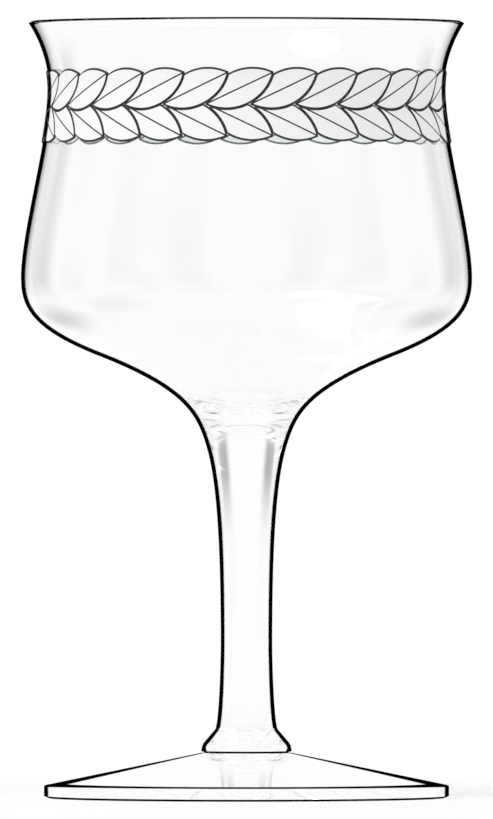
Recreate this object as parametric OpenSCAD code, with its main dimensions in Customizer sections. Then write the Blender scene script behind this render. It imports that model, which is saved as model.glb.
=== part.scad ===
// Water goblet: a blown bowl with a two-row leaf border, a solid stem with a collar, and a conical foot.
// The round pieces are profiles turned about Z. The goblet stands on Z = 0, with its front towards -Y.

/* [Foot] */
// Diameter of the foot
foot_d = 83.4; // [74:0.1:94]
// Height of the upright edge of the foot
foot_edge_h = 2.6; // [1.8:0.1:4]
// Rise of the cone from the upright edge to the seat of the stem
foot_rise = 6.7; // [4:0.1:10]
// Width of the flat ring that the goblet stands on
rest_ring_w = 3.6; // [2:0.1:6]
// Radius of the hollow underneath at its middle, inside its straight sides
hollow_r = 80; // [50:1:100]
// Rounding of the edges of the foot
foot_edge_r = 0.4; // [0.2:0.05:0.7]

/* [Stem] */
// Diameter of the collar where it stands on the foot
collar_d = 18.8; // [16.6:0.1:24]
// Height of the collar
collar_h = 4.9; // [3.8:0.1:7]
// Diameter at the shoulder of the collar
collar_shoulder_d = 18.2; // [15.6:0.1:18.8]
// Height of the shoulder of the collar above the foot
collar_shoulder_h = 1.75; // [1.4:0.05:2.6]
// Rounding of the shoulder of the collar
collar_r = 2.5; // [0.5:0.1:3]
// Diameter of the stem where it rises from the collar
stem_base_d = 12.8; // [11:0.1:14.6]
// Outward lean of the stem where it meets the collar, in degrees
stem_base_lean = 19.4; // [5:0.1:35]
// Diameter of the stem at its thinnest
stem_d = 10.6; // [8:0.1:12.6]
// Height of the thinnest place above the foot
stem_thin_h = 22.8; // [16:0.1:34]
// Diameter of the neck, where the stem starts to sweep out under the bowl
neck_d = 17.5; // [13:0.1:20]
// Height of the neck above the foot
neck_h = 64.7; // [48:0.1:90]
// Lean of the outline at the neck, in degrees from upright
neck_lean = 18.9; // [8:0.1:26]

/* [Bowl] */
// Diameter at the shoulder, where the outline turns from bulging to hollow
shoulder_d = 60.6; // [52:0.1:70]
// Height of the shoulder above the neck
shoulder_h = 17; // [13:0.1:21]
// Lean of the outline at the shoulder, in degrees from upright
shoulder_lean = 68.5; // [60:0.1:74]
// Diameter at the belly, the widest place
belly_d = 92.9; // [84:0.1:104]
// Height of the belly above the shoulder
belly_h = 16.1; // [12:0.1:22]
// Diameter at the waist
waist_d = 81.4; // [72:0.1:90]
// Height of the waist above the belly
waist_h = 38.8; // [32:0.1:52]
// Diameter at the top of the outer wall, just under the rounded lip
rim_d = 89.1; // [83:0.1:96]
// Height of the lip above the waist
rim_h = 14.1; // [11:0.1:20]
// Outward lean of the wall at the rim, in degrees from upright
rim_lean = 33; // [22:0.1:45]
// Thickness of the wall at the rim
rim_wall = 1.2; // [0.8:0.1:2]
// Thickness of the wall where it turns into the floor of the bowl
heel_wall = 2; // [1.4:0.1:2.8]
// Thickness of the floor of the bowl at its middle
floor_wall = 2.4; // [1.6:0.1:3.4]
// Height of the inside of the floor above the neck
floor_h = 5.6; // [4.6:0.1:6.6]

/* [Leaf border] */
// Number of leaves in each row
leaf_count = 28; // [26:1:32]
// Length of a leaf
leaf_l = 15; // [12:0.1:17]
// Width of a leaf
leaf_w = 7.1; // [5.6:0.1:7.8]
// Tilt of a leaf from level, in degrees
leaf_tilt = 25.7; // [20:0.1:32]
// Height that the leaves stand out from the wall
leaf_relief = 0.3; // [0.2:0.05:0.6]
// Gap between neighbouring leaves
leaf_gap = 0.4; // [0.2:0.05:0.6]
// Width of the groove along the middle of a leaf
rib_w = 0.3; // [0.2:0.05:0.5]
// Depth of that groove
rib_depth = 0.15; // [0.05:0.05:0.15]
// Distance from the lip down to the line between the two rows
border_drop = 17.7; // [16:0.1:24]
// Turn of the border round the goblet, in degrees
border_turn = -2; // [-180:0.5:180]

/* [Curves] */
// How far the outline holds its lean at the rim, as a share of the way to the waist
rim_pull = 0.19; // [0.05:0.01:0.4]
// How far it stays upright above the waist, as a share of the way to the rim
waist_up_pull = 0.43; // [0.3:0.01:0.6]
// How far it stays upright below the waist, as a share of the way to the belly
waist_down_pull = 0.25; // [0.15:0.01:0.4]
// How far it stays upright above the belly, as a share of the way to the waist
belly_up_pull = 0.24; // [0.15:0.01:0.4]
// How far it stays upright below the belly, as a share of the way to the shoulder
belly_down_pull = 0.27; // [0.15:0.01:0.4]
// How far it holds the lean of the shoulder towards the belly
shoulder_up_pull = 0.65; // [0.45:0.01:0.7]
// How far it holds the lean of the shoulder towards the neck
shoulder_down_pull = 0.66; // [0.5:0.01:0.7]
// How far it holds the lean of the neck towards the shoulder
neck_up_pull = 0.21; // [0.1:0.01:0.3]
// How far it holds the lean of the neck towards the thinnest place
neck_down_pull = 0.11; // [0.05:0.01:0.2]
// How far it stays upright above the thinnest place
thin_up_pull = 0.71; // [0.5:0.01:0.8]
// How far it stays upright below the thinnest place
thin_down_pull = 0.29; // [0.15:0.01:0.5]
// How far it holds its lean above the collar
base_pull = 0.12; // [0.05:0.01:0.3]
// Place on the sweep from shoulder to neck where the floor of the bowl begins
floor_share = 0.42; // [0.36:0.01:0.48]
// Place on that sweep where the bowl ends and the stem begins
seat_share = 0.65; // [0.58:0.01:0.72]

/* [Hidden] */

$fn = 96;
// Longest straight run that the curves are drawn with
curve_step = 2;
// Turn between neighbouring points on a rounding
arc_step = 15;
// Share of the floor's width that it stays level at the middle, and holds the wall's lean at its edge
floor_level_pull = 0.5;
floor_lean_pull = 0.3;

clear_glass = [0.86, 0.93, 0.94, 0.45];
satin_glass = [0.95, 0.97, 0.98, 0.9];

// Heights
foot_top = foot_edge_h + foot_rise;
collar_top = foot_top + collar_h;
thin_z = foot_top + stem_thin_h;
neck_z = foot_top + neck_h;
shoulder_z = neck_z + shoulder_h;
belly_z = shoulder_z + belly_h;
waist_z = belly_z + waist_h;
lip_z = waist_z + rim_h;
// The lip is a half round that is square to the leaning wall, so its outer end lies below its top
rim_z = lip_z - rim_wall / 2 * (1 + sin(rim_lean));
floor_z = neck_z + floor_h;
seat_low_z = floor_z - floor_wall;
border_z = lip_z - border_drop;

// Direction down the outline, leaning in towards the axis by an angle from upright
function heading(lean) = [-sin(lean), -cos(lean)];

// Cubic curve down the outline from p to q
function sweep(p, p_lean, p_pull, q, q_lean, q_pull) =
    let (reach = norm(q - p))
    [p, p + reach * p_pull * heading(p_lean), q - reach * q_pull * heading(q_lean), q];

function point_at(c, t) =
    pow(1 - t, 3) * c[0] + 3 * t * pow(1 - t, 2) * c[1] + 3 * t * t * (1 - t) * c[2] + pow(t, 3) * c[3];

// Unit normal of the outline, pointing into the glass
function inward_at(c, t) =
    let (d = pow(1 - t, 2) * (c[1] - c[0]) + 2 * t * (1 - t) * (c[2] - c[1]) + t * t * (c[3] - c[2]))
    [d.y, -d.x] / norm(d);

// Stations along a curve, each a curve and a place on it, without the last
function stations(c, from = 0, to = 1) =
    let (n = ceil((to - from) * norm(c[3] - c[0]) / curve_step))
    [for (i = [0 : n - 1]) [c, from + (to - from) * i / n]];

// Points at the stations, moved into the glass by depth
function points_in(list, depth = 0) =
    [for (s = list) point_at(s[0], s[1]) + depth * inward_at(s[0], s[1])];

function backwards(list) = [for (i = [len(list) - 1 : -1 : 0]) list[i]];

// A list without its first or last items
function trimmed(list, first, last) = [for (i = [first : len(list) - 1 - last]) list[i]];

// Points of a circle's arc
function arc(centre, r, from, to) =
    let (n = ceil(abs(to - from) / arc_step))
    [for (i = [0 : n]) centre + r * [cos(from + (to - from) * i / n), sin(from + (to - from) * i / n)]];

// Rounding of the corner at p between its neighbours a and b
function rounded(a, p, b, r) =
    let (
        u = (a - p) / norm(a - p),
        v = (b - p) / norm(b - p),
        half = acos(u * v) / 2,
        centre = p + (u + v) / norm(u + v) * r / sin(half),
        start = p + u * r / tan(half) - centre,
        finish = p + v * r / tan(half) - centre,
        from = atan2(start.y, start.x),
        turn = atan2(start.x * finish.y - start.y * finish.x, start * finish)
    )
    arc(centre, r, from, from + turn);

// Shallow cap from its lowest or highest point on the axis out to a point on its edge
function cap(middle_z, edge) =
    let (
        rise = edge.y - middle_z,
        r = (pow(edge.x, 2) + pow(rise, 2)) / (2 * rise),
        spread = asin(edge.x / r),
        n = ceil(edge.x / curve_step)
    )
    [for (i = [0 : n]) [r * sin(spread * i / n), middle_z + r * (1 - cos(spread * i / n))]];

// The outline, from the rim down to the collar
rim_point = [rim_d / 2, rim_z];
waist_point = [waist_d / 2, waist_z];
belly_point = [belly_d / 2, belly_z];
shoulder_point = [shoulder_d / 2, shoulder_z];
neck_point = [neck_d / 2, neck_z];
thin_point = [stem_d / 2, thin_z];
base_point = [stem_base_d / 2, collar_top];

rim_sweep = sweep(rim_point, rim_lean, rim_pull, waist_point, 0, waist_up_pull);
waist_sweep = sweep(waist_point, 0, waist_down_pull, belly_point, 0, belly_up_pull);
belly_sweep = sweep(belly_point, 0, belly_down_pull, shoulder_point, shoulder_lean, shoulder_up_pull);
heel_sweep = sweep(shoulder_point, shoulder_lean, shoulder_down_pull, neck_point, neck_lean, neck_up_pull);
neck_sweep = sweep(neck_point, neck_lean, neck_down_pull, thin_point, 0, thin_up_pull);
base_sweep = sweep(thin_point, 0, thin_down_pull, base_point, -stem_base_lean, base_pull);

// The wall of the bowl, from the rim to where the floor begins
wall_stations = concat(
    stations(rim_sweep),
    stations(waist_sweep),
    stations(belly_sweep),
    stations(heel_sweep, 0, floor_share)
);

// The inside of the wall, which thickens evenly towards the floor
inner_wall = [
    for (i = [0 : len(wall_stations) - 1])
        let (s = wall_stations[i], wall = rim_wall + (heel_wall - rim_wall) * i / len(wall_stations))
        point_at(s[0], s[1]) + wall * inward_at(s[0], s[1])
];

// The inside of the floor, from the wall to the axis
floor_inward = inward_at(heel_sweep, floor_share);
floor_edge = point_at(heel_sweep, floor_share) + heel_wall * floor_inward;
floor_middle = [0, floor_z];
floor_sweep = [
    floor_edge,
    floor_edge + norm(floor_middle - floor_edge) * floor_lean_pull * [-floor_inward.y, floor_inward.x],
    floor_middle + [norm(floor_middle - floor_edge) * floor_level_pull, 0],
    floor_middle
];

// The cupped seat that the bowl and the stem share
seat_edge = point_at(heel_sweep, seat_share);
seat = cap(seat_low_z, seat_edge);

lip = arc((rim_point + inner_wall[0]) / 2, rim_wall / 2, 180 - rim_lean, -rim_lean);

// The border is drawn flat against the wall, so neighbouring leaves are a chord apart
leaf_turn = 360 / leaf_count;
border_r = waist_d / 2;
leaf_pitch = border_r * sin(leaf_turn);
// Angle of wall that holds a whole leaf with room on both sides
leaf_span = 2 * asin(leaf_l / 2 / border_r) + leaf_turn / 2;
// Height of wall that holds a whole leaf, above and below the line between the rows
leaf_reach = leaf_l * sin(leaf_tilt) + leaf_w / 2;
border_stations = [
    for (s = wall_stations)
        if (abs(point_at(s[0], s[1]).y - border_z) < leaf_reach + curve_step) s
];

module bowl() {
    color(clear_glass)
        rotate_extrude()
            polygon(concat(
                points_in(wall_stations),
                points_in(stations(heel_sweep, floor_share, seat_share)),
                backwards(seat),
                [floor_middle],
                backwards(points_in(stations(floor_sweep))),
                backwards(inner_wall),
                trimmed(lip, 1, 1)
            ));
}

module stem() {
    foot_edge_point = [collar_d / 2, foot_top];
    collar_point = [collar_shoulder_d / 2, foot_top + collar_shoulder_h];
    color(clear_glass)
        rotate_extrude()
            polygon(concat(
                trimmed(seat, 0, 1),
                points_in(stations(heel_sweep, seat_share, 1)),
                points_in(stations(neck_sweep)),
                points_in(stations(base_sweep)),
                [base_point],
                rounded(base_point, collar_point, foot_edge_point, collar_r),
                [foot_edge_point, [0, foot_top]]
            ));
}

module foot() {
    seat_point = [collar_d / 2, foot_top];
    top_corner = [foot_d / 2, foot_edge_h];
    low_corner = [foot_d / 2, 0];
    ring_point = [foot_d / 2 - rest_ring_w, 0];
    // The sides of the hollow run parallel to the cone, up to where its rounded middle begins
    cone_lean = atan2(foot_rise, (foot_d - collar_d) / 2);
    dome_edge_r = hollow_r * sin(cone_lean);
    dome_edge = [dome_edge_r, (ring_point.x - dome_edge_r) * tan(cone_lean)];
    dome_z = dome_edge.y + hollow_r * (1 - cos(cone_lean));
    color(clear_glass)
        rotate_extrude()
            polygon(concat(
                [[0, foot_top], seat_point],
                rounded(seat_point, top_corner, low_corner, foot_edge_r),
                rounded(top_corner, low_corner, ring_point, foot_edge_r),
                [ring_point],
                backwards(cap(dome_z, dome_edge))
            ));
}

// A pointed leaf between two arcs, with its base on the line between the rows
module leaf_face(grow = 0) {
    r = (pow(leaf_l / 2, 2) + pow(leaf_w / 2, 2)) / leaf_w;
    lift = r - leaf_w / 2;
    translate([0, leaf_l / 2 * sin(leaf_tilt)])
        rotate(leaf_tilt)
            intersection() {
                translate([0, lift]) circle(r + grow);
                translate([0, -lift]) circle(r + grow);
            }
}

// What shows of a leaf of the upper row, beside the neighbour that lies over its base
module upper_leaf_face() {
    difference() {
        leaf_face();
        translate([-leaf_pitch, 0]) leaf_face(leaf_gap);
    }
}

// What shows of a leaf of the lower row, under its neighbour and the upper row
module lower_leaf_face() {
    difference() {
        mirror([0, 1]) leaf_face();
        translate([-leaf_pitch, 0]) mirror([0, 1]) leaf_face(leaf_gap);
        for (k = [-1 : 1]) translate([k * leaf_pitch, 0]) leaf_face(leaf_gap);
    }
}

// The groove along a leaf, which runs out at its tip
module rib_face() {
    translate([0, leaf_l / 2 * sin(leaf_tilt)])
        rotate(leaf_tilt)
            square([leaf_l + 2 * leaf_gap, rib_w], center = true);
}

// Layer of glass over the outer wall, between two heights above it, as wide as one leaf needs
module wall_layer(from, to) {
    rotate_extrude(angle = leaf_span, start = 270 - leaf_span / 2)
        polygon(concat(points_in(border_stations, -to), backwards(points_in(border_stations, -from))));
}

// A flat shape carried out from the axis towards the front, at the height of the border
module carried_out() {
    translate([0, 0, border_z])
        rotate([90, 0, 0])
            linear_extrude(belly_d)
                children();
}

module leaf_row(flip) {
    for (i = [0 : leaf_count - 1]) {
        rotate([0, 0, border_turn + i * leaf_turn])
            difference() {
                intersection() {
                    wall_layer(0, leaf_relief);
                    carried_out() children();
                }
                intersection() {
                    wall_layer(leaf_relief - rib_depth, 2 * leaf_relief);
                    carried_out() mirror([0, flip]) rib_face();
                }
            }
    }
}

module leaf_row_upper() {
    color(satin_glass) leaf_row(0) upper_leaf_face();
}

module leaf_row_lower() {
    color(satin_glass) leaf_row(1) lower_leaf_face();
}

bowl();
stem();
foot();
leaf_row_upper();
leaf_row_lower();
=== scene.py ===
import math

import bpy
import bmesh
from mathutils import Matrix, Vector
from mathutils.geometry import delaunay_2d_cdt


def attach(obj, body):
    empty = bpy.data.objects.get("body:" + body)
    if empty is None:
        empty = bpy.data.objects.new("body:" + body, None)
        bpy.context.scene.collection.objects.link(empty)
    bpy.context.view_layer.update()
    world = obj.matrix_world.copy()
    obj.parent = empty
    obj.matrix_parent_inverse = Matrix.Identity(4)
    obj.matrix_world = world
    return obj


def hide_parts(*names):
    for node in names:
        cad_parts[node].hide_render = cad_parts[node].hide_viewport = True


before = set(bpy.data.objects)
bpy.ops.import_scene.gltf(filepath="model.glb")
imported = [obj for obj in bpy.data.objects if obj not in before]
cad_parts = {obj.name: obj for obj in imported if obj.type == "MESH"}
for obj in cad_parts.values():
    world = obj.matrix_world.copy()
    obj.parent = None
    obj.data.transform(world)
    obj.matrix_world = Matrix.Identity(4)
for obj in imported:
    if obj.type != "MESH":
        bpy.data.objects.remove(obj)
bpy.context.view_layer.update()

MM = 0.001
WHITE = (1, 1, 1, 1)

# Sizes of the goblet in millimetres and degrees, as in the part's source
FOOT_D = 83.4
FOOT_EDGE_H = 2.6
FOOT_RISE = 6.7
REST_RING_W = 3.6
HOLLOW_R = 80.0
FOOT_EDGE_R = 0.4
COLLAR_D = 18.8
COLLAR_H = 4.9
COLLAR_SHOULDER_D = 18.2
COLLAR_SHOULDER_H = 1.75
COLLAR_R = 2.5
STEM_BASE_D = 12.8
STEM_BASE_LEAN = 19.4
STEM_D = 10.6
STEM_THIN_H = 22.8
NECK_D = 17.5
NECK_H = 64.7
NECK_LEAN = 18.9
SHOULDER_D = 60.6
SHOULDER_H = 17.0
SHOULDER_LEAN = 68.5
BELLY_D = 92.9
BELLY_H = 16.1
WAIST_D = 81.4
WAIST_H = 38.8
RIM_D = 89.1
RIM_H = 14.1
RIM_LEAN = 33.0
RIM_WALL = 1.2
HEEL_WALL = 2.0
FLOOR_WALL = 2.4
FLOOR_H = 5.6
LEAF_COUNT = 28
LEAF_L = 15.0
LEAF_W = 7.1
LEAF_TILT = 25.7
LEAF_RELIEF = 0.3
LEAF_GAP = 0.4
RIB_W = 0.3
RIB_DEPTH = 0.15
BORDER_DROP = 17.7
BORDER_TURN = -2.0

# How far the outline holds its direction at each end of a sweep
RIM_PULL = 0.19
WAIST_UP_PULL = 0.43
WAIST_DOWN_PULL = 0.25
BELLY_UP_PULL = 0.24
BELLY_DOWN_PULL = 0.27
SHOULDER_UP_PULL = 0.65
SHOULDER_DOWN_PULL = 0.66
NECK_UP_PULL = 0.21
NECK_DOWN_PULL = 0.11
THIN_UP_PULL = 0.71
THIN_DOWN_PULL = 0.29
BASE_PULL = 0.12
FLOOR_SHARE = 0.42
SEAT_SHARE = 0.65
FLOOR_LEVEL_PULL = 0.5
FLOOR_LEAN_PULL = 0.3

# Small forms of the scene alone: the lip's slope, the bevel under the foot's edge and the collar's crease
LIP_SLOPE = 26.0
LIP_INNER_R = 0.35
LIP_OUTER_R = 0.12
BEVEL_H = 0.45
BEVEL_W = 1.0
BEVEL_R = 0.1
CREASE_H = 0.4
CREASE_DEEP = 1.0

# The leaves' meshes: how far their flanks spread and their tops draw in, and their clearance from the wall
LEAF_FOOT = 0.195
LEAF_INSET = 0.2
LEAF_CLEAR = 0.02
RIB_PAST = 0.5

# The painted shade along the outline of the glass, a dark line in place of its dark edges: its width, and
# the cosines between surface and eye where it ends, at least, at most and on the brim of the foot, with
# how fast it thins on flat slopes
EDGE_LINE = 0.95
EDGE_LEAST = 0.03
EDGE_MOST = 0.57
EDGE_BRIM = 0.38
EDGE_FLAT = 1.1
EDGE_FADE_FROM = 0.88
BRIM_STEPS = 1

# Fineness of the meshes
TURN_STEPS = 240
STEP_MM = 0.5
ARC_STEP_DEG = 6.0
LEAF_ARC_STEPS = 26
LEAF_GRID = 0.8
LEAF_MERGE = 1e-5
LEAF_CREASE = math.radians(18)
SLOPE_STEP = 0.25
ON_AXIS = 1e-6
WITH_HULL = 0

# Heights over the table
FOOT_TOP = FOOT_EDGE_H + FOOT_RISE
COLLAR_TOP = FOOT_TOP + COLLAR_H
THIN_Z = FOOT_TOP + STEM_THIN_H
NECK_Z = FOOT_TOP + NECK_H
SHOULDER_Z = NECK_Z + SHOULDER_H
BELLY_Z = SHOULDER_Z + BELLY_H
WAIST_Z = BELLY_Z + WAIST_H
LIP_Z = WAIST_Z + RIM_H
RIM_Z = LIP_Z - RIM_WALL / 2 * (1 + math.sin(math.radians(RIM_LEAN)))
FLOOR_Z = NECK_Z + FLOOR_H
SEAT_LOW_Z = FLOOR_Z - FLOOR_WALL
BORDER_Z = LIP_Z - BORDER_DROP


# Curves of the outline, in the plane of radius and height

def heading(lean):
    """Downwards along an outline that leans out towards its top by so many degrees."""
    a = math.radians(lean)
    return Vector((-math.sin(a), -math.cos(a)))


def sweep(p, p_lean, p_pull, q, q_lean, q_pull):
    """The four points of a cubic curve from p down to q, with a lean and a pull at each end."""
    p, q = Vector(p), Vector(q)
    reach = (q - p).length
    return (p, p + reach * p_pull * heading(p_lean), q - reach * q_pull * heading(q_lean), q)


def point_at(c, t):
    s = 1 - t
    return s * s * s * c[0] + 3 * t * s * s * c[1] + 3 * t * t * s * c[2] + t * t * t * c[3]


def inward_at(c, t):
    s = 1 - t
    d = s * s * (c[1] - c[0]) + 2 * t * s * (c[2] - c[1]) + t * t * (c[3] - c[2])
    d.normalize()
    return Vector((d.y, -d.x))


def shares(c, start=0.0, end=1.0):
    """Shares of a curve at which its points are taken, without the last."""
    n = max(2, math.ceil((end - start) * (c[3] - c[0]).length / STEP_MM))
    return [start + (end - start) * i / n for i in range(n)]


def arc(centre, r, start, end):
    n = max(2, math.ceil(abs(end - start) / ARC_STEP_DEG))
    angles = [math.radians(start + (end - start) * i / n) for i in range(n + 1)]
    return [Vector((centre.x + r * math.cos(a), centre.y + r * math.sin(a))) for a in angles]


def rounded(a, p, b, r):
    """The arc that rounds the corner p on the way from a to b."""
    a, p, b = Vector(a), Vector(p), Vector(b)
    u = (a - p).normalized()
    v = (b - p).normalized()
    half = math.acos(u.dot(v)) / 2
    centre = p + (u + v).normalized() * (r / math.sin(half))
    start = p + u * (r / math.tan(half)) - centre
    finish = p + v * (r / math.tan(half)) - centre
    turn = math.degrees(math.atan2(start.x * finish.y - start.y * finish.x, start.dot(finish)))
    first = math.degrees(math.atan2(start.y, start.x))
    return arc(centre, r, first, first + turn)


def straight(a, b):
    """Points along a straight line, without the last."""
    n = math.ceil((b - a).length / (2 * STEP_MM))
    return [a + (b - a) * i / n for i in range(n)]


def cap(middle_z, edge):
    """Points of a round cap from its middle on the axis to its edge."""
    rise = edge.y - middle_z
    r = (edge.x ** 2 + rise ** 2) / (2 * rise)
    spread = math.asin(edge.x / r)
    n = math.ceil(edge.x / STEP_MM)
    return [
        Vector((r * math.sin(spread * i / n), middle_z + r * (1 - math.cos(spread * i / n))))
        for i in range(n + 1)
    ]


RIM_POINT = (RIM_D / 2, RIM_Z)
WAIST_POINT = (WAIST_D / 2, WAIST_Z)
BELLY_POINT = (BELLY_D / 2, BELLY_Z)
SHOULDER_POINT = (SHOULDER_D / 2, SHOULDER_Z)
NECK_POINT = (NECK_D / 2, NECK_Z)
THIN_POINT = (STEM_D / 2, THIN_Z)
BASE_POINT = (STEM_BASE_D / 2, COLLAR_TOP)
CREASE_POINT = Vector((COLLAR_D / 2 - CREASE_DEEP, FOOT_TOP))

rim_sweep = sweep(RIM_POINT, RIM_LEAN, RIM_PULL, WAIST_POINT, 0, WAIST_UP_PULL)
waist_sweep = sweep(WAIST_POINT, 0, WAIST_DOWN_PULL, BELLY_POINT, 0, BELLY_UP_PULL)
belly_sweep = sweep(BELLY_POINT, 0, BELLY_DOWN_PULL, SHOULDER_POINT, SHOULDER_LEAN, SHOULDER_UP_PULL)
heel_sweep = sweep(
    SHOULDER_POINT, SHOULDER_LEAN, SHOULDER_DOWN_PULL, NECK_POINT, NECK_LEAN, NECK_UP_PULL
)
neck_sweep = sweep(NECK_POINT, NECK_LEAN, NECK_DOWN_PULL, THIN_POINT, 0, THIN_UP_PULL)
base_sweep = sweep(THIN_POINT, 0, THIN_DOWN_PULL, BASE_POINT, -STEM_BASE_LEAN, BASE_PULL)

wall_runs = [
    (rim_sweep, 0.0, 1.0),
    (waist_sweep, 0.0, 1.0),
    (belly_sweep, 0.0, 1.0),
    (heel_sweep, 0.0, FLOOR_SHARE),
]
wall_stations = [(c, t) for c, start, end in wall_runs for t in shares(c, start, end)]
outer_wall = [point_at(c, t) for c, t in wall_stations]
inner_wall = [
    point_at(c, t) + (RIM_WALL + (HEEL_WALL - RIM_WALL) * i / len(wall_stations)) * inward_at(c, t)
    for i, (c, t) in enumerate(wall_stations)
]

floor_inward = inward_at(heel_sweep, FLOOR_SHARE)
floor_edge = point_at(heel_sweep, FLOOR_SHARE) + HEEL_WALL * floor_inward
floor_middle = Vector((0, FLOOR_Z))
floor_reach = (floor_middle - floor_edge).length
floor_sweep = (
    floor_edge,
    floor_edge + floor_reach * FLOOR_LEAN_PULL * Vector((-floor_inward.y, floor_inward.x)),
    floor_middle + Vector((floor_reach * FLOOR_LEVEL_PULL, 0)),
    floor_middle,
)
seat_edge = point_at(heel_sweep, SEAT_SHARE)
seat = cap(SEAT_LOW_Z, seat_edge)


def ground_lip():
    """The lip from inside to outside: a top that slopes down outwards, rounded into both walls."""
    up = -heading(RIM_LEAN)
    slope = math.radians(LIP_SLOPE)
    down = Vector((math.cos(slope), -math.sin(slope)))
    inner, outer = inner_wall[0], outer_wall[0]
    outer = outer - (outer - inner).cross(down) / up.cross(down) * up
    arcs = rounded(inner - up, inner, outer, LIP_INNER_R)
    arcs += rounded(inner, outer, outer - up, LIP_OUTER_R)
    lift = (LIP_Z - max(p.y for p in arcs)) / up.y
    return [p + lift * up for p in arcs]


# Turned pieces

def edge_shade_cosines(profile, rounds):
    """For each point of a profile, the cosine between its turned surface and the eye where the painted
    shade along the outline, a dark line, ends. Outside, the line is EDGE_LINE wide, and thinner on flat
    slopes. What faces the axis gets none. The points in rounds get at least the cosine given there, times
    how level they lie.
    A corner takes the greater cosine of its two sides, or the lesser one where it is hollow."""
    turned = sum(p.x * q.y - q.x * p.y for p, q in zip(profile, profile[1:]))
    cosines = []
    for i, p in enumerate(profile):
        lines = []
        ways = [
            (after - before).normalized()
            for before, after in zip(profile[max(i - 1, 0):i + 1], profile[max(i, 1):i + 2])
        ]
        for along in ways:
            outward = max(0.0, math.copysign(along.y, along.y * turned))
            line = math.sqrt(2 * EDGE_LINE * outward / max(p.x, EDGE_LINE))
            line = min(line, EDGE_MOST * outward ** EDGE_FLAT)
            if i in rounds:
                line = max(line, rounds[i] * abs(along.x))
            lines.append(max(EDGE_LEAST, line))
        hollow = ways[0].cross(ways[-1]) * turned < 0
        cosines.append(min(lines) if hollow else max(lines))
    return cosines


def finished_piece(name, bm):
    """A new object in the scene, with the mesh that was built."""
    mesh = bpy.data.meshes.new(name)
    bm.to_mesh(mesh)
    bm.free()
    piece = bpy.data.objects.new(name, mesh)
    bpy.context.scene.collection.objects.link(piece)
    return piece


def lathe(name, profile, joints, sharp, rounds):
    """A closed turned piece from a profile that starts and ends on the axis. Faces after the profile
    points named in joints take the second material, corners named in sharp keep a crisp edge, and rounds
    goes to edge_shade_cosines."""
    bm = bmesh.new()
    # Per point, the cosine where the painted edge shade of the outline ends
    edge = bm.verts.layers.float.new("edge")
    turn = [2 * math.pi * k / TURN_STEPS for k in range(TURN_STEPS)]
    rings = []
    for (r, z), cosine in zip(profile, edge_shade_cosines(profile, rounds)):
        if r < ON_AXIS:
            ring = [bm.verts.new((0, 0, z * MM))]
        else:
            ring = [bm.verts.new((r * math.cos(a) * MM, r * math.sin(a) * MM, z * MM)) for a in turn]
        for v in ring:
            v[edge] = cosine
        rings.append(ring)
    for i, (ring, after) in enumerate(zip(rings, rings[1:])):
        for k in range(TURN_STEPS):
            n = (k + 1) % TURN_STEPS
            if len(ring) == 1:
                face = bm.faces.new((ring[0], after[k], after[n]))
            elif len(after) == 1:
                face = bm.faces.new((ring[k], after[0], ring[n]))
            else:
                face = bm.faces.new((ring[k], after[k], after[n], ring[n]))
            face.smooth = True
            face.material_index = 1 if i in joints else 0
    for i in sharp:
        for k in range(TURN_STEPS):
            bm.edges.get((rings[i][k], rings[i][(k + 1) % TURN_STEPS])).smooth = False
    bmesh.ops.recalc_face_normals(bm, faces=bm.faces)
    return finished_piece(name, bm)


def bowl_piece():
    under = [point_at(heel_sweep, t) for t in shares(heel_sweep, FLOOR_SHARE, SEAT_SHARE)]
    floor = [point_at(floor_sweep, t) for t in shares(floor_sweep)]
    profile = list(seat)
    profile += reversed(under)
    profile += reversed(outer_wall)
    lip_start = len(profile)
    profile += reversed(ground_lip())
    rounds = dict.fromkeys(range(lip_start, len(profile)), EDGE_MOST)
    profile += inner_wall
    profile += floor
    profile.append(floor_middle)
    return lathe("bowl_glass", profile, range(len(seat) - 1), [len(seat) - 1], rounds)


def stem_piece():
    foot_edge = (COLLAR_D / 2, FOOT_TOP)
    shoulder = (COLLAR_SHOULDER_D / 2, FOOT_TOP + COLLAR_SHOULDER_H)
    profile = seat[:-1]
    for c, start in ((heel_sweep, SEAT_SHARE), (neck_sweep, 0.0), (base_sweep, 0.0)):
        profile += [point_at(c, t) for t in shares(c, start, 1.0)]
    base = len(profile)
    profile.append(Vector(BASE_POINT))
    profile += rounded(BASE_POINT, shoulder, foot_edge, COLLAR_R)
    crease = len(profile)
    side_x = foot_edge[0] + (shoulder[0] - foot_edge[0]) * CREASE_H / COLLAR_SHOULDER_H
    profile += [Vector((side_x, FOOT_TOP + CREASE_H)), CREASE_POINT, Vector((0, FOOT_TOP))]
    joints = list(range(len(seat) - 1)) + [crease + 1]
    rounds = dict.fromkeys((crease, crease + 1), EDGE_MOST)
    return lathe("stem_glass", profile, joints, [len(seat) - 1, base, crease, crease + 1], rounds)


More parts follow.
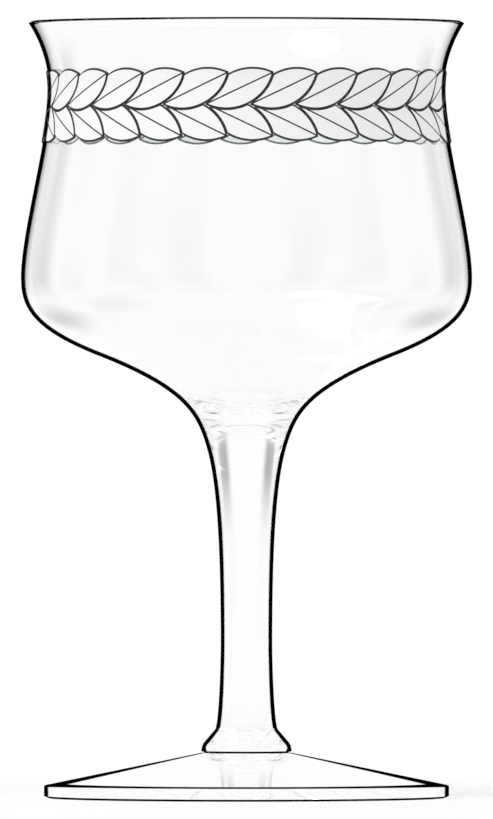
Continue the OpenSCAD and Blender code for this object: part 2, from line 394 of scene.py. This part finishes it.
def foot_piece():
    seat_point = Vector((COLLAR_D / 2, FOOT_TOP))
    top_corner = (FOOT_D / 2, FOOT_EDGE_H)
    low_corner = (FOOT_D / 2, 0)
    bevel_top = (FOOT_D / 2, BEVEL_H)
    bevel_low = (FOOT_D / 2 - BEVEL_W, 0)
    ring_point = Vector((FOOT_D / 2 - REST_RING_W, 0))
    cone_lean = math.atan2(FOOT_RISE, (FOOT_D - COLLAR_D) / 2)
    dome_edge_r = HOLLOW_R * math.sin(cone_lean)
    dome_edge = Vector((dome_edge_r, (ring_point.x - dome_edge_r) * math.tan(cone_lean)))
    dome_z = dome_edge.y + HOLLOW_R * (1 - math.cos(cone_lean))
    bevel = rounded(top_corner, bevel_top, bevel_low, BEVEL_R)
    bevel += rounded(bevel_top, bevel_low, ring_point, BEVEL_R)
    top_round = rounded(seat_point, top_corner, low_corner, FOOT_EDGE_R)
    profile = [Vector((0, FOOT_TOP)), CREASE_POINT]
    cone = len(profile)
    profile += straight(seat_point, top_round[0])
    edge_start = len(profile)
    profile += top_round
    profile += bevel[:-1]
    rounds = dict.fromkeys(range(edge_start + 1, len(profile)), EDGE_MOST)
    rounds.update(dict.fromkeys(range(edge_start - BRIM_STEPS, edge_start + 1), EDGE_BRIM))
    profile += straight(bevel[-1], ring_point)
    ring = len(profile)
    profile += straight(ring_point, dome_edge)
    profile += reversed(cap(dome_z, dome_edge))
    return lathe("foot_glass", profile, [0], [cone, ring], rounds)


# Leaf border

RIB_HALF = RIB_W / 2
RIB_REACH = LEAF_L / 2 + RIB_PAST
# The cosine where the painted edge shade along the leaves' outline ends
LEAF_EDGE = math.sqrt(2 * EDGE_LINE / (WAIST_D / 2))
LEAF_TURN = 360 / LEAF_COUNT
LEAF_R = ((LEAF_L / 2) ** 2 + (LEAF_W / 2) ** 2) / LEAF_W
tilt = math.radians(LEAF_TILT)
LEAF_AXIS = Vector((math.cos(tilt), math.sin(tilt)))
LEAF_ACROSS = Vector((-math.sin(tilt), math.cos(tilt)))
LEAF_MIDDLE = Vector((0, LEAF_L / 2 * math.sin(tilt)))

wall_table = sorted((p.y, p.x) for p in outer_wall)


def wall_radius(z):
    for (z0, r0), (z1, r1) in zip(wall_table, wall_table[1:]):
        if z0 <= z <= z1:
            return r0 + (r1 - r0) * (z - z0) / (z1 - z0)
    raise ValueError("height outside the wall")


def on_wall(u, v, height):
    """The place of a point of the flat border pattern, height above the wall, at the front."""
    z = BORDER_Z + v
    r = wall_radius(z)
    a = math.asin(u / r)
    slope = (wall_radius(z + SLOPE_STEP) - wall_radius(z - SLOPE_STEP)) / (2 * SLOPE_STEP)
    out = Vector((1, -slope)).normalized()
    r, z = r + height * out.x, z + height * out.y
    return Vector((r * math.sin(a), -r * math.cos(a), z))


def leaf_outline(grow, places, flip):
    """Points round a leaf made of two arcs, grown by a width and moved some places along its row, as the
    leaf in the middle sees it from the front. A flipped leaf hangs down, in the lower row."""
    bow_r = LEAF_R + grow
    lift = LEAF_R - LEAF_W / 2
    half = math.acos(lift / bow_r)
    points = []
    for side in (1, -1):
        for i in range(LEAF_ARC_STEPS):
            a = half - 2 * half * i / LEAF_ARC_STEPS
            points.append((side * bow_r * math.sin(a), side * (bow_r * math.cos(a) - lift)))
    out = []
    for x, y in points:
        p = LEAF_MIDDLE + x * LEAF_AXIS + y * LEAF_ACROSS
        v = -p.y if flip else p.y
        r = wall_radius(BORDER_Z + v)
        out.append(Vector((r * math.sin(math.asin(p.x / r) + places * math.radians(LEAF_TURN)), v)))
    return out[::-1] if flip else out


def leaf_pattern(flip):
    """One leaf of a row in the flat, cut into triangles, without what its neighbours cover: the points,
    the triangles, and those of them that are on its top."""
    covers = [(-1, flip)]
    if flip:
        covers += [(places, False) for places in (-1, 0, 1)]
    loops = [leaf_outline(LEAF_FOOT, 0, flip), leaf_outline(-LEAF_INSET, 0, flip)]
    for places, cover_flip in covers:
        loops.append(leaf_outline(LEAF_GAP - LEAF_FOOT, places, cover_flip))
        loops.append(leaf_outline(LEAF_GAP, places, cover_flip))
    points, faces, edges = [], [], []
    for loop in loops:
        start = len(points)
        points += loop
        faces.append(list(range(start, start + len(loop))))
    mirror = -1 if flip else 1
    steps = math.ceil(LEAF_L / LEAF_GRID)
    for side in (-RIB_HALF, 0, RIB_HALF):
        start = len(points)
        for i in range(-steps, steps + 1):
            p = LEAF_MIDDLE + RIB_REACH * i / steps * LEAF_AXIS + side * LEAF_ACROSS
            points.append(Vector((p.x, mirror * p.y)))
        edges += [(k, k + 1) for k in range(start, start + 2 * steps)]
    for i in range(-steps, steps + 1):
        for j in range(-steps, steps + 1):
            along = (i + (j % 2) / 2) * LEAF_GRID
            across = (j + 1 / 2) * LEAF_GRID
            p = LEAF_MIDDLE + along * LEAF_AXIS + across * LEAF_ACROSS
            if abs(across) > RIB_W and abs(i * LEAF_GRID) < LEAF_L / 2:
                points.append(Vector((p.x, mirror * p.y)))
    verts, _, tris, _, _, owners = delaunay_2d_cdt(points, edges, faces, WITH_HULL, LEAF_MERGE)
    cover_feet = set(range(2, len(loops), 2))
    cover_gaps = set(range(3, len(loops), 2))
    base, top = [], set()
    for tri, own in zip(tris, owners):
        own = set(own)
        if 0 not in own or own & cover_feet:
            continue
        base.append(tuple(tri))
        if 1 in own and not own & cover_gaps:
            top.add(tuple(tri))
    return verts, base, top


def leaf_mesh_data(flip):
    """Points, faces and materials of one leaf of a row: a raised top with sloping flanks and a rib, and
    an underside just clear of the wall, which meet along the leaf's edge."""
    verts, base, top = leaf_pattern(flip)
    mirror = -1 if flip else 1

    def off_rib(u, v):
        return abs((Vector((u, mirror * v)) - LEAF_MIDDLE).dot(LEAF_ACROSS))

    uses = {}
    for tri in base:
        for a, b in zip(tri, tri[1:] + tri[:1]):
            key = (min(a, b), max(a, b))
            uses[key] = uses.get(key, 0) + 1
    rim = {v for key, n in uses.items() if n == 1 for v in key}
    used = sorted({v for tri in base for v in tri})
    top_used = {v for tri in top for v in tri}
    points, above, below = [], {}, {}
    for k in used:
        u, v = verts[k]
        if k in rim:
            height = LEAF_CLEAR
        elif k in top_used:
            height = LEAF_RELIEF - RIB_DEPTH * max(0.0, 1 - off_rib(u, v) / RIB_HALF)
        else:
            height = LEAF_RELIEF / 2
        above[k] = len(points)
        points.append(on_wall(u, v, height))
    for k in used:
        if k in rim:
            below[k] = above[k]
        else:
            below[k] = len(points)
            points.append(on_wall(*verts[k], LEAF_CLEAR))
    faces, marks = [], []
    for tri in base:
        if all(k in rim for k in tri):
            continue
        centre = sum((verts[k] for k in tri), Vector((0, 0))) / 3
        # Flanks and the rib take the second material, rough glass painted near-black with groove shade
        mark = 0 if tri in top and off_rib(*centre) >= RIB_HALF else 1
        faces.append(tuple(above[k] for k in tri))
        faces.append(tuple(below[k] for k in reversed(tri)))
        marks += [mark, mark]
    return points, faces, marks


def leaf_row_piece(name, flip):
    points, faces, marks = leaf_mesh_data(flip)
    bm = bmesh.new()
    # Per point, the cosine where the painted edge shade of the outline ends
    edge = bm.verts.layers.float.new("edge")
    for i in range(LEAF_COUNT):
        a = math.radians(BORDER_TURN + i * LEAF_TURN)
        ca, sa = math.cos(a), math.sin(a)
        verts = [
            bm.verts.new(((p.x * ca - p.y * sa) * MM, (p.x * sa + p.y * ca) * MM, p.z * MM))
            for p in points
        ]
        for v in verts:
            v[edge] = LEAF_EDGE
        for corners, mark in zip(faces, marks):
            face = bm.faces.new([verts[k] for k in corners])
            face.material_index = mark
            face.smooth = True
    bmesh.ops.recalc_face_normals(bm, faces=bm.faces)
    for e in bm.edges:
        if e.calc_face_angle(0.0) > LEAF_CREASE:
            e.smooth = False
    return finished_piece(name, bm)


# Materials

GLASS_COLOUR = (0.975, 0.985, 0.982, 1)
GLASS_IOR = 1.5
# Painted shade of the outline: a black base colour, and an IOR of 1 that takes the reflection away there
EDGE_SHADE_COLOUR = (0, 0, 0, 1)
EDGE_SHADE_IOR = 1.0
WAVE_SCALE = 55.0
WAVE_DETAIL = 1.0
WAVE_STRENGTH = 0.03
WAVE_DEPTH = 1.0 * MM
GRAIN_SCALE = 4000.0
GRAIN_DETAIL = 2.0
SATIN_COLOUR = (0.96, 0.97, 0.97, 1)
SATIN_CLEARNESS = 0.1
SATIN_ROUGH = (0.35, 0.5)
SATIN_GLOSS = 0.5
# Painted shade: the near-black of the leaves' flanks and midribs stands in for the shade in their cut
# grooves, on rough ground glass
GROOVE_SHADE_COLOUR = (0.03, 0.032, 0.032, 1)
GROUND_CLEARNESS = 0.3
GROUND_ROUGH = (0.4, 0.6)
GROUND_GLOSS = 0.2


def new_material(name):
    m = bpy.data.materials.new(name)
    m.use_nodes = True
    nodes = m.node_tree.nodes
    nodes.clear()
    return m, nodes, m.node_tree.links


def math_node(nodes, operation):
    node = nodes.new("ShaderNodeMath")
    node.operation = operation
    return node


def painted_edge_shade(nodes, links, glass, colour):
    """Paints shade on glass where the eye meets it edge on, in the line that the edge values of its mesh
    set: a black base colour and no reflection, for camera rays, in place of the dark edges that glass
    shows.
    """
    facing = nodes.new("ShaderNodeLayerWeight")
    facing.inputs["Blend"].default_value = 0.5
    cosine = math_node(nodes, "SUBTRACT")
    cosine.inputs[0].default_value = 1.0
    limit = nodes.new("ShaderNodeAttribute")
    limit.attribute_name = "edge"
    part = math_node(nodes, "DIVIDE")
    span = nodes.new("ShaderNodeMapRange")
    span.interpolation_type = "SMOOTHSTEP"
    span.inputs["From Min"].default_value = EDGE_FADE_FROM
    span.inputs["From Max"].default_value = 1.0
    span.inputs["To Min"].default_value = 1.0
    span.inputs["To Max"].default_value = 0.0
    path = nodes.new("ShaderNodeLightPath")
    share = math_node(nodes, "MULTIPLY")
    tint = nodes.new("ShaderNodeMix")
    tint.data_type = "RGBA"
    tint.inputs["A"].default_value = colour
    tint.inputs["B"].default_value = EDGE_SHADE_COLOUR
    bend = nodes.new("ShaderNodeMapRange")
    bend.inputs["To Min"].default_value = GLASS_IOR
    bend.inputs["To Max"].default_value = EDGE_SHADE_IOR
    glass.inputs["IOR"].default_value = GLASS_IOR
    links.new(facing.outputs["Facing"], cosine.inputs[1])
    links.new(cosine.outputs[0], part.inputs[0])
    links.new(limit.outputs["Fac"], part.inputs[1])
    links.new(part.outputs[0], span.inputs["Value"])
    links.new(span.outputs["Result"], share.inputs[0])
    links.new(path.outputs["Is Camera Ray"], share.inputs[1])
    links.new(share.outputs[0], tint.inputs["Factor"])
    links.new(share.outputs[0], bend.inputs["Value"])
    links.new(tint.outputs["Result"], glass.inputs["Base Color"])
    links.new(bend.outputs["Result"], glass.inputs["IOR"])


def clear_glass(name):
    """Polished glass with the slight waves of a blown surface."""
    m, nodes, links = new_material(name)
    out = nodes.new("ShaderNodeOutputMaterial")
    glass = nodes.new("ShaderNodeBsdfPrincipled")
    painted_edge_shade(nodes, links, glass, GLASS_COLOUR)
    glass.inputs["Transmission Weight"].default_value = 1.0
    glass.inputs["Roughness"].default_value = 0.0
    place = nodes.new("ShaderNodeTexCoord")
    wave = nodes.new("ShaderNodeTexNoise")
    wave.inputs["Scale"].default_value = WAVE_SCALE
    wave.inputs["Detail"].default_value = WAVE_DETAIL
    bump = nodes.new("ShaderNodeBump")
    bump.inputs["Strength"].default_value = WAVE_STRENGTH
    bump.inputs["Distance"].default_value = WAVE_DEPTH
    links.new(place.outputs["Object"], wave.inputs["Vector"])
    links.new(wave.outputs["Fac"], bump.inputs["Height"])
    links.new(bump.outputs["Normal"], glass.inputs["Normal"])
    links.new(glass.outputs["BSDF"], out.inputs["Surface"])
    return m


def fused_joint():
    """The faces where two pieces of glass are joined hot, which don't show."""
    m, nodes, links = new_material("fused_joint")
    out = nodes.new("ShaderNodeOutputMaterial")
    clear = nodes.new("ShaderNodeBsdfTransparent")
    links.new(clear.outputs["BSDF"], out.inputs["Surface"])
    return m


def frosted_glass(name, colour, clearness, rough, gloss):
    """Ground glass, with a fine grain in its roughness."""
    m, nodes, links = new_material(name)
    out = nodes.new("ShaderNodeOutputMaterial")
    glass = nodes.new("ShaderNodeBsdfPrincipled")
    painted_edge_shade(nodes, links, glass, colour)
    glass.inputs["Transmission Weight"].default_value = clearness
    glass.inputs["Specular IOR Level"].default_value = gloss
    place = nodes.new("ShaderNodeTexCoord")
    grain = nodes.new("ShaderNodeTexNoise")
    grain.inputs["Scale"].default_value = GRAIN_SCALE
    grain.inputs["Detail"].default_value = GRAIN_DETAIL
    spread = nodes.new("ShaderNodeMapRange")
    spread.inputs["To Min"].default_value = rough[0]
    spread.inputs["To Max"].default_value = rough[1]
    links.new(place.outputs["Object"], grain.inputs["Vector"])
    links.new(grain.outputs["Fac"], spread.inputs["Value"])
    links.new(spread.outputs["Result"], glass.inputs["Roughness"])
    links.new(glass.outputs["BSDF"], out.inputs["Surface"])
    return m


clear = clear_glass("clear_glass")
fused = fused_joint()
satin = frosted_glass("satin_glass", SATIN_COLOUR, SATIN_CLEARNESS, SATIN_ROUGH, SATIN_GLOSS)
# Rough ground glass painted near-black with the shade of the leaves' grooves
ground_groove_shade = frosted_glass("ground_glass_groove_shade", GROOVE_SHADE_COLOUR, GROUND_CLEARNESS, GROUND_ROUGH, GROUND_GLOSS)


# Pieces

bowl = bowl_piece()
stem = stem_piece()
foot = foot_piece()
for piece, node in ((bowl, "bowl"), (stem, "stem"), (foot, "foot")):
    piece.data.materials.append(clear)
    piece.data.materials.append(fused)
    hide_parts(node)
    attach(piece, "root")

leaf_rows = (("leaves_upper", False, "leaf_row_upper"), ("leaves_lower", True, "leaf_row_lower"))
for name, flip, node in leaf_rows:
    piece = leaf_row_piece(name, flip)
    piece.data.materials.append(satin)
    piece.data.materials.append(ground_groove_shade)
    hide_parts(node)
    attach(piece, "root")


# Studio, in metres

scene = bpy.context.scene
scene.view_settings.view_transform = "Standard"

# Camera: the height of its view is taken at the goblet's axis
LENS = 900.0
SENSOR = 36.0
VIEW_H = 168.65 * MM
CLIP_NEAR = 0.1
CLIP_FAR = 20.0
camera_data = bpy.data.cameras.new("camera")
camera_data.lens = LENS
camera_data.sensor_width = SENSOR
camera_data.sensor_fit = "AUTO"
camera_data.clip_start = CLIP_NEAR
camera_data.clip_end = CLIP_FAR
camera = bpy.data.objects.new("camera", camera_data)
camera.location = (0, -VIEW_H / SENSOR * LENS, LIP_Z / 2 * MM)
camera.rotation_euler = (math.pi / 2, 0, 0)
scene.collection.objects.link(camera)
scene.camera = camera

# World: a soft light all round, and white where the camera sees it, also by way of the glass
WORLD_LIGHT = 0.88
WORLD_SEEN = 1.0
world = bpy.data.worlds.new("studio")
scene.world = world
world.use_nodes = True
world_nodes = world.node_tree.nodes
world_links = world.node_tree.links
world_nodes.clear()
world_out = world_nodes.new("ShaderNodeOutputWorld")
world_mix = world_nodes.new("ShaderNodeMixShader")
world_light = world_nodes.new("ShaderNodeBackground")
world_light.inputs["Color"].default_value = WHITE
world_light.inputs["Strength"].default_value = WORLD_LIGHT
world_seen = world_nodes.new("ShaderNodeBackground")
world_seen.inputs["Color"].default_value = WHITE
world_seen.inputs["Strength"].default_value = WORLD_SEEN
world_path = world_nodes.new("ShaderNodeLightPath")
seen_or_glossy = math_node(world_nodes, "MAXIMUM")
seen_at_all = math_node(world_nodes, "MAXIMUM")
world_links.new(world_path.outputs["Is Camera Ray"], seen_or_glossy.inputs[0])
world_links.new(world_path.outputs["Is Glossy Ray"], seen_or_glossy.inputs[1])
world_links.new(seen_or_glossy.outputs[0], seen_at_all.inputs[0])
world_links.new(world_path.outputs["Is Transmission Ray"], seen_at_all.inputs[1])
world_links.new(seen_at_all.outputs[0], world_mix.inputs["Fac"])
world_links.new(world_light.outputs[0], world_mix.inputs[1])
world_links.new(world_seen.outputs[0], world_mix.inputs[2])
world_links.new(world_mix.outputs[0], world_out.inputs["Surface"])

FLOOR_COLOUR = (0.93, 0.93, 0.93, 1)
FLOOR_GLOW = 0.7
FLOOR_R = 0.32
FLOOR_FADE_FROM = 0.06
FLOOR_FADE_TO = 0.3
FLOOR_GAP = 0.05 * MM
FLOOR_SIDES = 96


def floor_material():
    """A pale floor that fades into the white round it, and glows a little where the glass shows it."""
    m, nodes, links = new_material("floor_white")
    out = nodes.new("ShaderNodeOutputMaterial")
    white = nodes.new("ShaderNodeBsdfDiffuse")
    white.inputs["Color"].default_value = FLOOR_COLOUR
    glow = nodes.new("ShaderNodeEmission")
    path = nodes.new("ShaderNodeLightPath")
    in_glass = math_node(nodes, "MAXIMUM")
    some = math_node(nodes, "MULTIPLY")
    some.inputs[1].default_value = FLOOR_GLOW
    seen = nodes.new("ShaderNodeMixShader")
    away = nodes.new("ShaderNodeBsdfTransparent")
    mix = nodes.new("ShaderNodeMixShader")
    place = nodes.new("ShaderNodeTexCoord")
    far = nodes.new("ShaderNodeVectorMath")
    far.operation = "LENGTH"
    fade = nodes.new("ShaderNodeMapRange")
    fade.interpolation_type = "SMOOTHSTEP"
    fade.inputs["From Min"].default_value = FLOOR_FADE_FROM
    fade.inputs["From Max"].default_value = FLOOR_FADE_TO
    links.new(path.outputs["Is Glossy Ray"], in_glass.inputs[0])
    links.new(path.outputs["Is Transmission Ray"], in_glass.inputs[1])
    links.new(in_glass.outputs[0], some.inputs[0])
    links.new(some.outputs[0], seen.inputs["Fac"])
    links.new(white.outputs[0], seen.inputs[1])
    links.new(glow.outputs[0], seen.inputs[2])
    links.new(place.outputs["Object"], far.inputs[0])
    links.new(far.outputs["Value"], fade.inputs["Value"])
    links.new(fade.outputs["Result"], mix.inputs["Fac"])
    links.new(seen.outputs[0], mix.inputs[1])
    links.new(away.outputs[0], mix.inputs[2])
    links.new(mix.outputs[0], out.inputs["Surface"])
    return m


def floor_piece():
    angles = [2 * math.pi * k / FLOOR_SIDES for k in range(FLOOR_SIDES)]
    corners = [(FLOOR_R * math.cos(a), FLOOR_R * math.sin(a), -FLOOR_GAP) for a in angles]
    mesh = bpy.data.meshes.new("floor")
    mesh.from_pydata(corners, [], [tuple(range(FLOOR_SIDES))])
    mesh.materials.append(floor_material())
    piece = bpy.data.objects.new("floor", mesh)
    scene.collection.objects.link(piece)


floor_piece()

CARD_STEPS = 24
CARD_SHADE = 0.02


def card_material():
    m, nodes, links = new_material("black_card")
    out = nodes.new("ShaderNodeOutputMaterial")
    shade = nodes.new("ShaderNodeAttribute")
    shade.attribute_name = "shade"
    glow = nodes.new("ShaderNodeEmission")
    links.new(shade.outputs["Fac"], glow.inputs["Color"])
    links.new(glow.outputs[0], out.inputs["Surface"])
    return m


card_black = card_material()


def smooth_rise(x, start, end):
    t = min(1.0, max(0.0, (x - start) / (end - start)))
    return t * t * (3 - 2 * t)


def middle(x, ends):
    """Rises from 0 at the start of a card's side to 1 at the first share of it, and falls to 0 from the
    second share to its end."""
    return smooth_rise(x, 0, ends[0]) * smooth_rise(x, 1, ends[1])


def card(name, place, dark):
    """A card over the unit square, dark in its middle and fading to the white behind it at its edges.
    Only the glass sees it: it neither shows by itself nor throws a shadow."""
    n = CARD_STEPS
    grid = [(i / n, j / n) for j in range(n + 1) for i in range(n + 1)]
    faces = [
        (j * (n + 1) + i, j * (n + 1) + i + 1, (j + 1) * (n + 1) + i + 1, (j + 1) * (n + 1) + i)
        for j in range(n) for i in range(n)
    ]
    mesh = bpy.data.meshes.new(name)
    mesh.from_pydata([place(u, v) for u, v in grid], [], faces)
    shade = mesh.attributes.new("shade", "FLOAT", "POINT")
    for k, (u, v) in enumerate(grid):
        shade.data[k].value = 1 - (1 - CARD_SHADE) * dark(u, v)
    mesh.materials.append(card_black)
    piece = bpy.data.objects.new(name, mesh)
    scene.collection.objects.link(piece)
    piece.visible_camera = False
    piece.visible_diffuse = False
    piece.visible_shadow = False
    piece.visible_volume_scatter = False


BOWL_CARD_FAR = 0.2
BOWL_CARD_IN, BOWL_CARD_OUT = 0.06, 0.18
BOWL_CARD_LOW, BOWL_CARD_HIGH = 0.06, 0.22
BOWL_CARD_DARK = 0.55
BOWL_CARD_ACROSS = (0.25, 0.5)
BOWL_CARD_UP = (0.35, 0.65)


def bowl_card(quarter, side):
    """A card behind the bowl to one side, seen from one of four sides, which shades its wall."""
    turn = quarter * math.pi / 2

    def place(u, v):
        x = side * (BOWL_CARD_IN + u * (BOWL_CARD_OUT - BOWL_CARD_IN))
        y = BOWL_CARD_FAR
        z = BOWL_CARD_LOW + v * (BOWL_CARD_HIGH - BOWL_CARD_LOW)
        return (x * math.cos(turn) - y * math.sin(turn), x * math.sin(turn) + y * math.cos(turn), z)

    def dark(u, v):
        return BOWL_CARD_DARK * middle(u, BOWL_CARD_ACROSS) * middle(v, BOWL_CARD_UP)

    card("card_bowl_%d_%d" % (quarter, side), place, dark)


STEM_CARD_FAR = 0.085
STEM_CARD_FROM, STEM_CARD_TO = 40.0, 84.0
STEM_CARD_LOW, STEM_CARD_HIGH = 0.02, 0.09
STEM_CARD_DARK = 0.85
STEM_CARD_ACROSS = (0.45, 0.7)
STEM_CARD_UP = (0.5, 0.5)


def stem_card(front, side):
    """A low card to one side of the stem, before or behind it, which shades its edges."""

    def place(u, v):
        turn = 180 * front + side * (STEM_CARD_FROM + u * (STEM_CARD_TO - STEM_CARD_FROM))
        a = math.radians(turn)
        z = STEM_CARD_LOW + v * (STEM_CARD_HIGH - STEM_CARD_LOW)
        return (STEM_CARD_FAR * math.sin(a), STEM_CARD_FAR * math.cos(a), z)

    def dark(u, v):
        return STEM_CARD_DARK * middle(u, STEM_CARD_ACROSS) * middle(v, STEM_CARD_UP)

    card("card_stem_%d_%d" % (front, side), place, dark)


for quarter in range(4):
    for side in (-1, 1):
        bowl_card(quarter, side)
for front in (0, 1):
    for side in (-1, 1):
        stem_card(front, side)

KEY_SIZE = 0.6
KEY_ENERGY = 4.5
KEY_PLACE = (-0.7, -0.6, 1.1)
KEY_AIM = Vector((0, 0, 0.05))
key_data = bpy.data.lights.new("key", "AREA")
key_data.shape = "DISK"
key_data.size = KEY_SIZE
key_data.energy = KEY_ENERGY
key = bpy.data.objects.new("key", key_data)
key.location = KEY_PLACE
key.rotation_euler = (KEY_AIM - key.location).to_track_quat("-Z", "Y").to_euler()
scene.collection.objects.link(key)

# Light that is led along inside the glass needs many bounces, and stays sharp after diffuse ones
GLASS_BOUNCES = 64
scene.cycles.max_bounces = GLASS_BOUNCES
scene.cycles.transmission_bounces = GLASS_BOUNCES
scene.cycles.glossy_bounces = GLASS_BOUNCES
scene.cycles.transparent_max_bounces = GLASS_BOUNCES
scene.cycles.blur_glossy = 0.0
